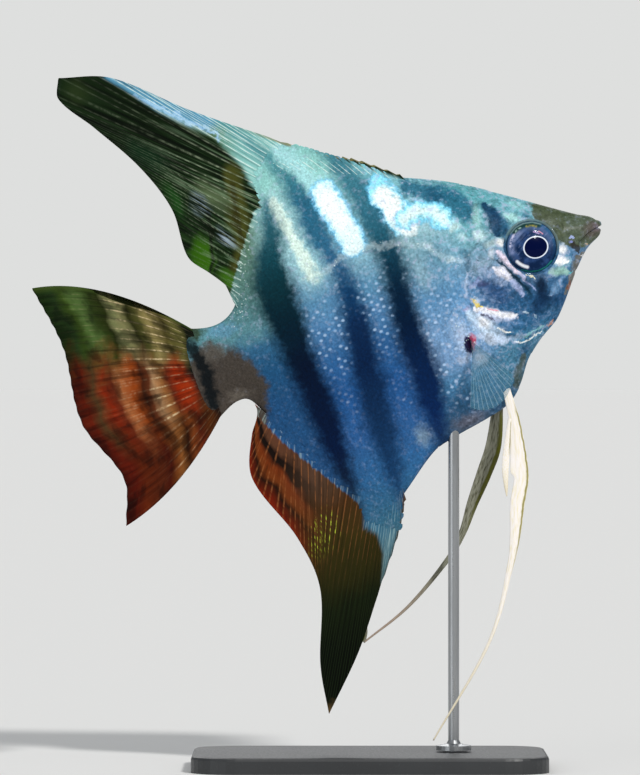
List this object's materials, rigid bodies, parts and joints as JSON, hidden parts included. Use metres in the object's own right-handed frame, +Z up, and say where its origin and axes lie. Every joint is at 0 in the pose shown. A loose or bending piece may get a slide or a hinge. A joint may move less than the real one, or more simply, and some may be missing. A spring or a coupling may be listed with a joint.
{
  "type": "freshwater angelfish display model",
  "caption": "Life-size still model of a freshwater angelfish, nose up with tall fins and trailing pelvic filaments, on a rod and flat base.",
  "frame": {"origin": "centre of the underside of the stand's base", "axes": "+X the way the fish faces, +Y to its left, +Z up"},
  "size_m": [0.1027, 0.042, 0.125],
  "materials": {
    "scaled_skin": "blue and teal scales with dark bars, wet gloss",
    "bare_skin": "olive and blue head skin, wet gloss",
    "gill_plate": "pearly blue gill cover",
    "eye": "dark blue eye with a bright pupil ring, polished",
    "dorsal_fin": "olive green membrane with pale rays",
    "rust_fins": "rust red and olive membranes with dark spots and pale rays",
    "pale_fins": "cream white pelvic fins",
    "clear_fins": "clear pale teal pectoral fins",
    "stand_base": "satin black powder coat on a steel plate",
    "stand_rod": "brushed stainless steel"
  },
  "bodies": {
    "root": {"head": "bare_skin", "upper_jaw": "bare_skin", "lower_jaw": "bare_skin", "gill_cover_left": "gill_plate", "gill_cover_right": "gill_plate", "trunk": "scaled_skin", "tail_stem": "bare_skin", "eye_left": "eye", "eye_right": "eye", "dorsal_fin": "dorsal_fin", "anal_fin": "rust_fins", "tail_fin": "rust_fins", "pelvic_fin_left": "pale_fins", "pelvic_fin_right": "pale_fins", "pelvic_filament_left": "pale_fins", "pelvic_filament_right": "pale_fins", "pectoral_fin_left": "clear_fins", "pectoral_fin_right": "clear_fins", "stand_base": "stand_base", "stand_rod": "stand_rod"}
  },
  "joints": []
}
